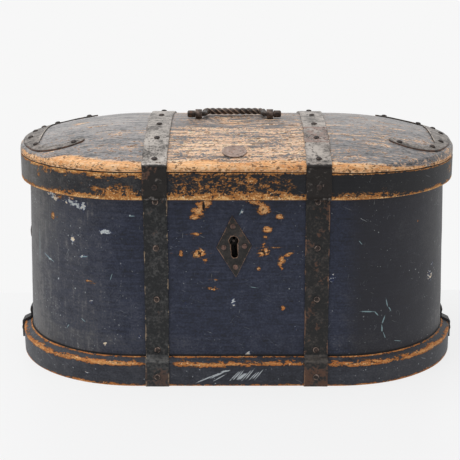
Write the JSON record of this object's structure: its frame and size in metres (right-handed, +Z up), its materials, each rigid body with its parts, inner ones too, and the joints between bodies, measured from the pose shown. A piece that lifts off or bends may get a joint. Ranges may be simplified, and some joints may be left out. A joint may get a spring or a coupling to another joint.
{
  "type": "travel chest",
  "caption": "Oval bentwood travel chest with a domed cap lid, iron straps, crescent end plates, a lock plate and a bail handle on top.",
  "frame": {"origin": "on the floor under the middle of the chest", "axes": "+Z up, the lock and handle disc on the -Y front, +X to the right of someone facing the front"},
  "size_m": [0.5597, 0.3188, 0.3069],
  "materials": {
    "painted_side_wood": "worn dark blue paint over pine",
    "painted_lid_wood": "thin grey-blue paint, worn through to the pine",
    "bare_wood": "bare aged pine",
    "worn_lid_iron": "rubbed grey-brown wrought iron",
    "painted_strap_iron": "wrought iron with dark paint and rust",
    "nail_iron": "dark forged nails",
    "rusty_disc_iron": "brown rusted iron",
    "dark_forged_iron": "dark brown forged iron",
    "lock_iron": "dull lock iron"
  },
  "bodies": {
    "chest": {"back_strap_left": "painted_strap_iron", "back_strap_nails": "nail_iron", "back_strap_right": "painted_strap_iron", "body_wall": "painted_side_wood", "bottom_board": "bare_wood", "bottom_pegs": "bare_wood", "end_boss": "nail_iron", "escutcheon": "dark_forged_iron", "escutcheon_nails": "nail_iron", "foot_clip_left": "painted_strap_iron", "foot_clip_nails": "nail_iron", "foot_clip_right": "painted_strap_iron", "foot_hoop": "painted_side_wood", "front_strap_left": "painted_strap_iron", "front_strap_nails": "nail_iron", "front_strap_right": "painted_strap_iron", "hinge_pin_left": "dark_forged_iron", "hinge_pin_right": "dark_forged_iron", "key_pin": "lock_iron", "lock_case": "lock_iron", "lock_case_nails": "nail_iron", "lock_spring": "lock_iron"},
    "lid": {"lid_hoop": "painted_side_wood", "lid_board": "painted_lid_wood", "lid_dowels": "bare_wood", "lid_strap_left": "worn_lid_iron", "lid_strap_right": "worn_lid_iron", "lid_strap_nails": "nail_iron", "end_plate_left": "worn_lid_iron", "end_plate_right": "worn_lid_iron", "end_plate_nails": "nail_iron", "lid_disc": "rusty_disc_iron", "handle_staple_left": "dark_forged_iron", "handle_staple_right": "dark_forged_iron", "lid_staple": "lock_iron", "lid_staple_nails": "nail_iron"},
    "handle": {"handle_bail": "dark_forged_iron"},
    "bolt": {"lock_bolt": "lock_iron"}
  },
  "joints": [
    {"name": "lid_hinge", "type": "hinge", "parent": "chest", "child": "lid", "pos_m": [0, 0.15486, 0.223], "axis": [-1, 0, 0], "range_deg": [0, 180]},
    {"name": "handle_swing", "type": "hinge", "parent": "lid", "child": "handle", "pos_m": [-0.003, 0, 0.30112], "axis": [1, 0, 0], "range_deg": [0, 187.08]},
    {"name": "bolt_slide", "type": "slide", "parent": "chest", "child": "bolt", "axis": [1, 0, 0], "range_m": [0, 0.012]}
  ]
}
